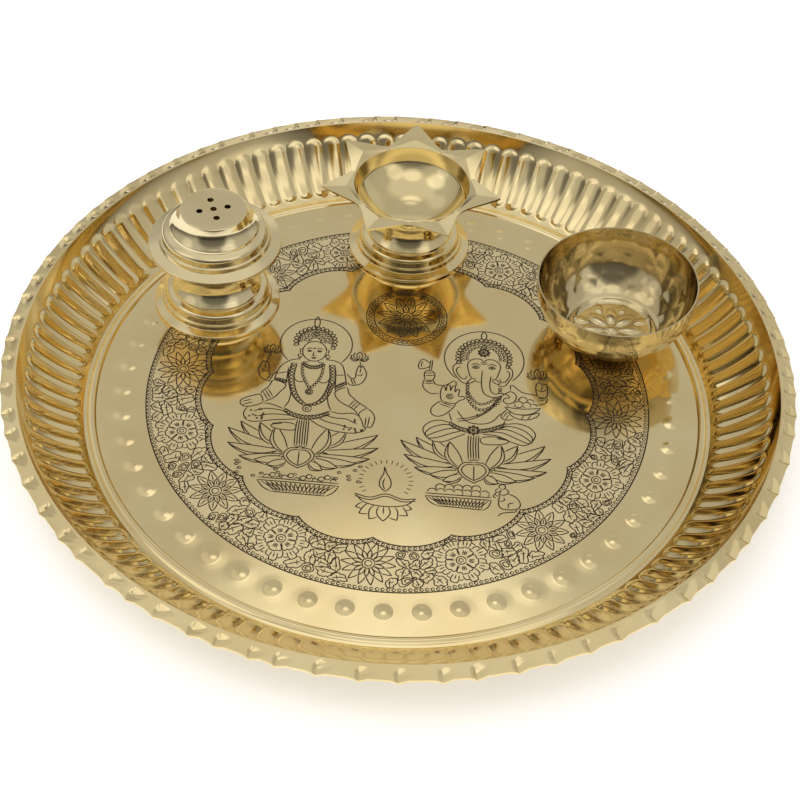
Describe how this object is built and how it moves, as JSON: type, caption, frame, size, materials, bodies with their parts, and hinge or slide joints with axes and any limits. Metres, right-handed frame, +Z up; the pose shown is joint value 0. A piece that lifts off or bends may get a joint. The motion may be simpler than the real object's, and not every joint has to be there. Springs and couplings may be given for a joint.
{
  "type": "puja thali",
  "caption": "Round brass puja tray with a fluted wall, crimped rim and engraved floor, carrying a loose incense stand, a star-rimmed oil lamp and a small bowl.",
  "frame": {"origin": "centre of the flat underside of the tray, on the surface it rests on", "axes": "+Z up; -Y towards the front of the tray, opposite the lamp; +X to the right, towards the small bowl"},
  "size_m": [0.305, 0.305, 0.0488],
  "materials": {
    "tray_brass": "polished pressed sheet with an engraved floor",
    "stand_brass": "polished spun pressing",
    "lamp_brass": "polished spun pressing",
    "bowl_brass": "polished and lightly hammered",
    "rivet_brass": "plain drawn"
  },
  "bodies": {
    "tray": {"tray": "tray_brass"},
    "incense_stand": {"stand_base": "stand_brass", "stand_bowl": "stand_brass", "stand_lid": "stand_brass", "stand_rivet": "rivet_brass"},
    "oil_lamp": {"lamp_base": "lamp_brass", "lamp_cup": "lamp_brass", "lamp_stud": "rivet_brass"},
    "small_bowl": {"bowl": "bowl_brass"}
  },
  "joints": [
    {"name": "stand_lift_off", "type": "slide", "parent": "tray", "child": "incense_stand", "axis": [0, 0, 1], "range_m": [0, 0.08]},
    {"name": "lamp_lift_off", "type": "slide", "parent": "tray", "child": "oil_lamp", "axis": [0, 0, 1], "range_m": [0, 0.08]},
    {"name": "bowl_lift_off", "type": "slide", "parent": "tray", "child": "small_bowl", "axis": [0, 0, 1], "range_m": [0, 0.08]}
  ]
}
